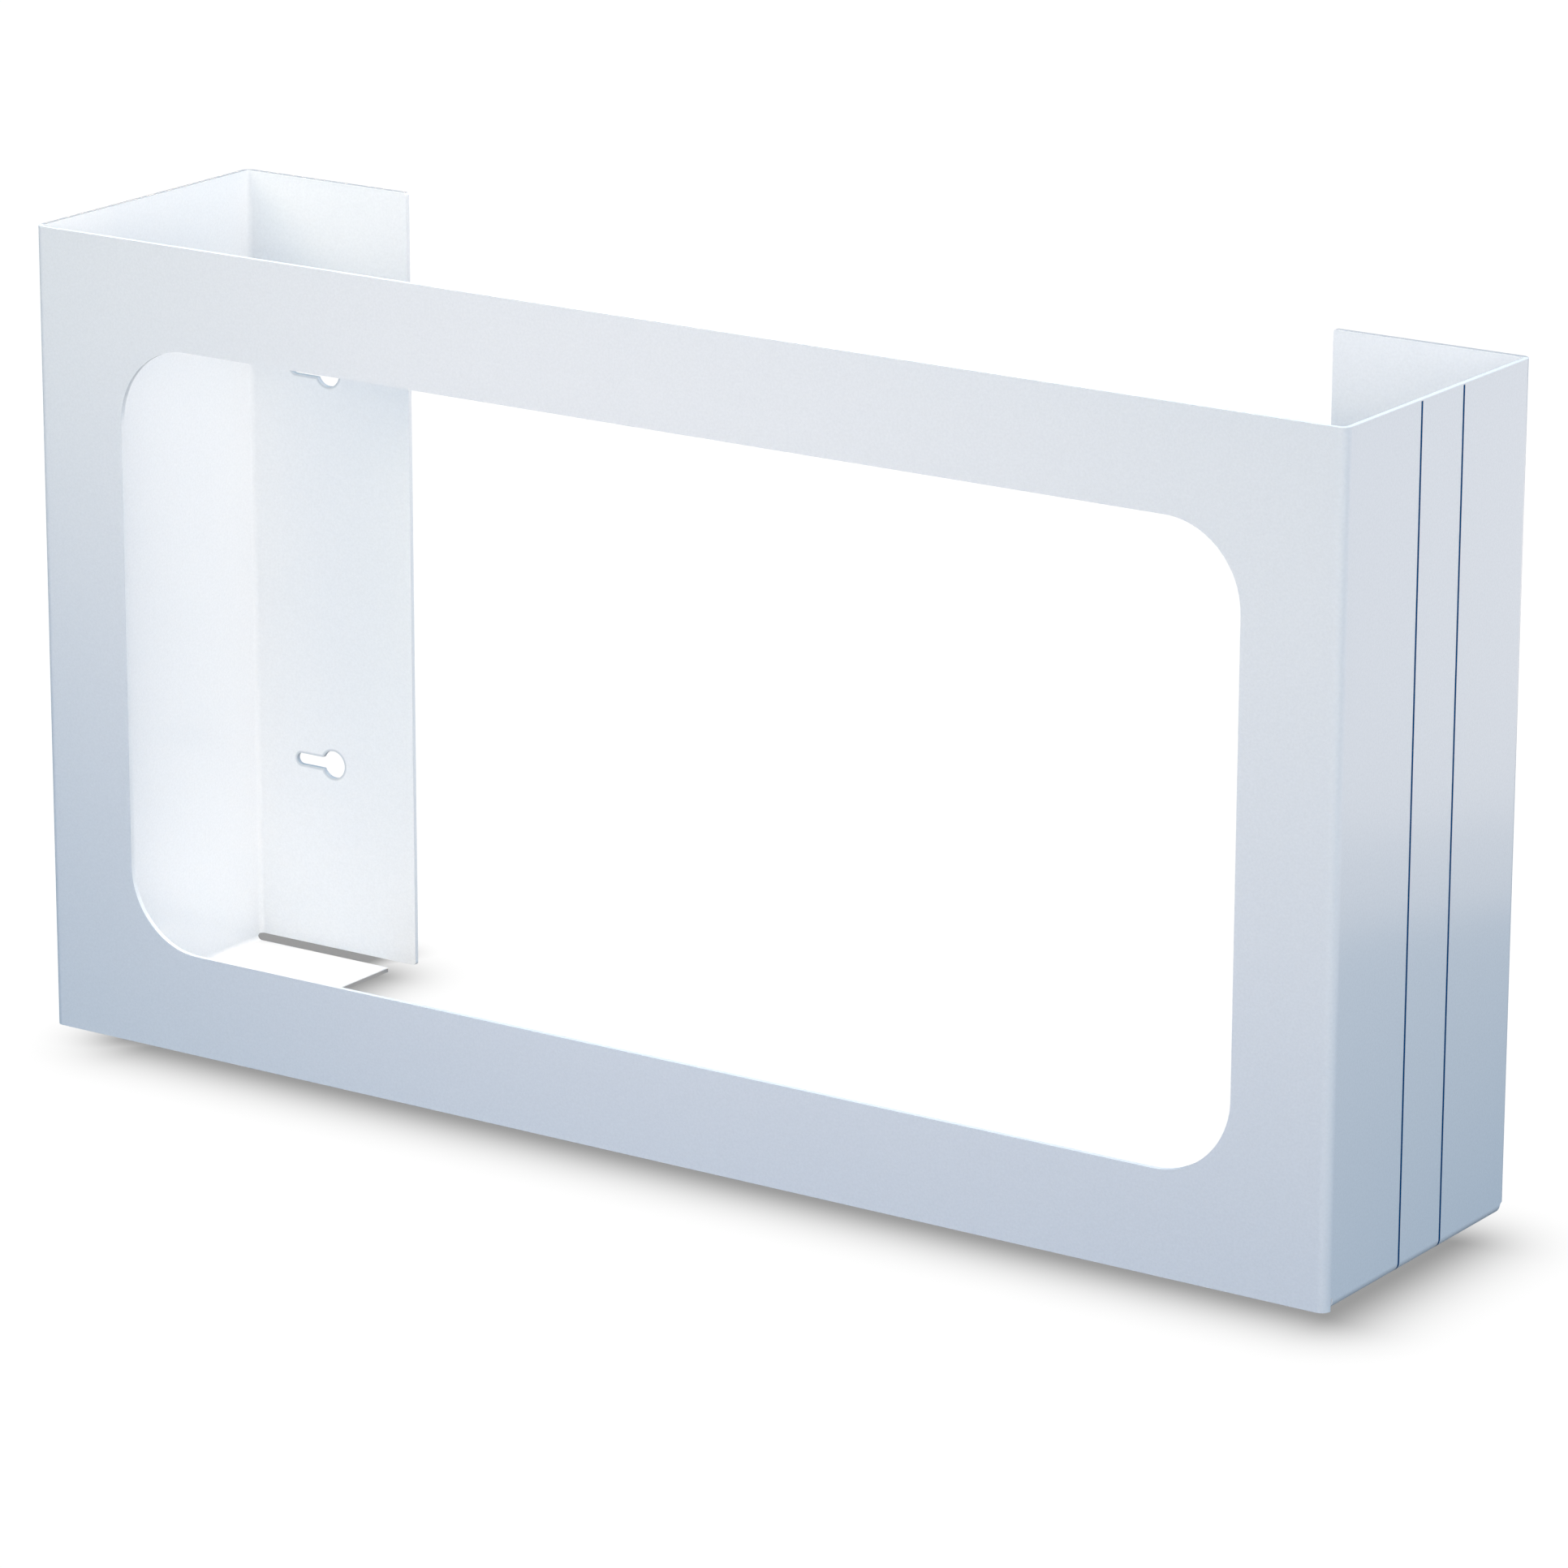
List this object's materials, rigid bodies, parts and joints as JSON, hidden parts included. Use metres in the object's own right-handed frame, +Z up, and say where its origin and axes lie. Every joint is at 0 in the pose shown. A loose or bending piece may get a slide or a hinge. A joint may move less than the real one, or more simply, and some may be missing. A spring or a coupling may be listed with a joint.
{
  "type": "disposable glove dispenser",
  "caption": "Open-fronted wall holder for boxes of disposable gloves: one folded sheet with a wide window, side walls, rear flanges with keyholes and floor tabs.",
  "frame": {"origin": "middle of the footprint, in the plane of the floor tabs' undersides", "axes": "+X along the front panel to the right wall, -Y out through the front window, +Y to the wall that it hangs on, +Z up"},
  "size_m": [0.457, 0.104, 0.254],
  "materials": {
    "white_powder_coat": "white powder coat, semi-gloss, with a fine grain"
  },
  "bodies": {
    "root": {"folded_sheet": "white_powder_coat"}
  },
  "joints": []
}
